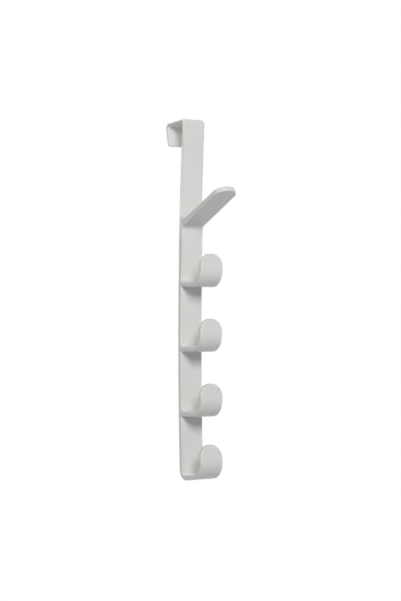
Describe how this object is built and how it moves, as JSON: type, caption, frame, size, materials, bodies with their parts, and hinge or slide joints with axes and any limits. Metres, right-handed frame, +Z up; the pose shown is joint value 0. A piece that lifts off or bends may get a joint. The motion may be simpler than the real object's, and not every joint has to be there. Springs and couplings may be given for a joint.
{
  "type": "over-door hook",
  "caption": "Tall white plastic over-door hanger: a thin clip goes over a door's top edge, and its strip carries a slanted hook above a column of J-shaped hooks with rounded ends.",
  "frame": {"origin": "middle of the seat, the flat underside of the clip's bridge, which rests on the door's top edge; it slopes about 3.5 degrees down to the back", "axes": "+Z up, +X across the strip, -Y out from the door to the hooks, +Y to the clip's back flange"},
  "size_m": [0.0242, 0.1033, 0.3492],
  "materials": {
    "white_plastic": "satin white moulded plastic"
  },
  "bodies": {
    "root": {"door_hanger": "white_plastic"}
  },
  "joints": []
}
